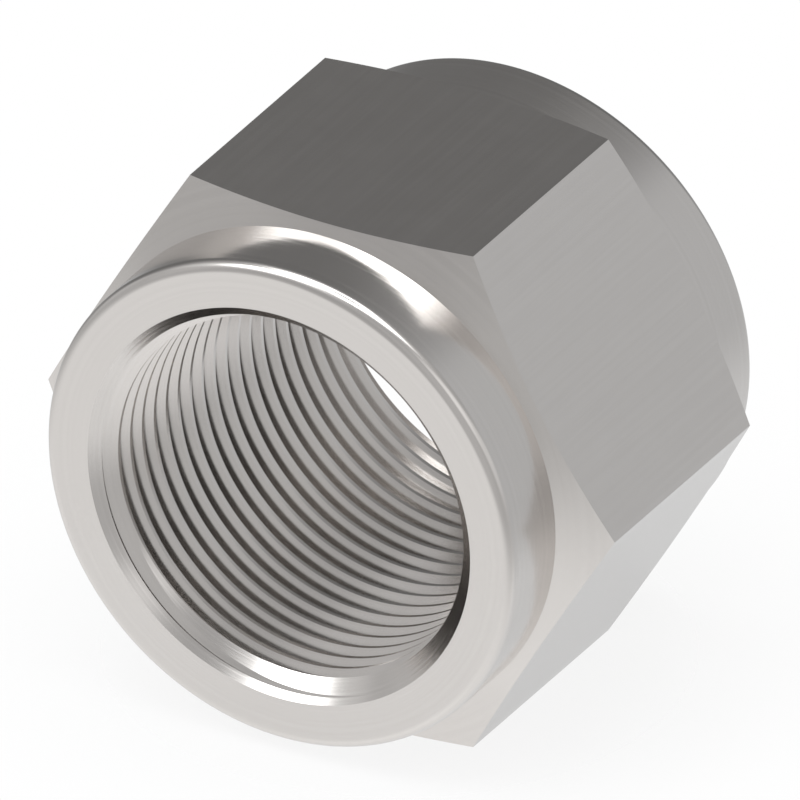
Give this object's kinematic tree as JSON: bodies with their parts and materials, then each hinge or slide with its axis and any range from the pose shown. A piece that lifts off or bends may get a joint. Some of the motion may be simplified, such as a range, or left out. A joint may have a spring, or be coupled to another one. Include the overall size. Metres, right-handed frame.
{
  "type": "tube nut",
  "caption": "Hexagonal tube nut turned to a round collar at each end, with a fine internal thread right through and a coned mouth at both ends.",
  "frame": {"origin": "on the thread's axis, halfway between the two end faces", "axes": "+Y along the thread's axis, from the front mouth to the back one; +Z square to the hexagon's upper flat; +X through a corner of the hexagon"},
  "size_m": [0.0294, 0.0216, 0.0254],
  "materials": {
    "steel": "bright machined stainless steel, with fine turning marks on the turned faces"
  },
  "bodies": {
    "root": {"tube_nut": "steel"}
  },
  "joints": []
}
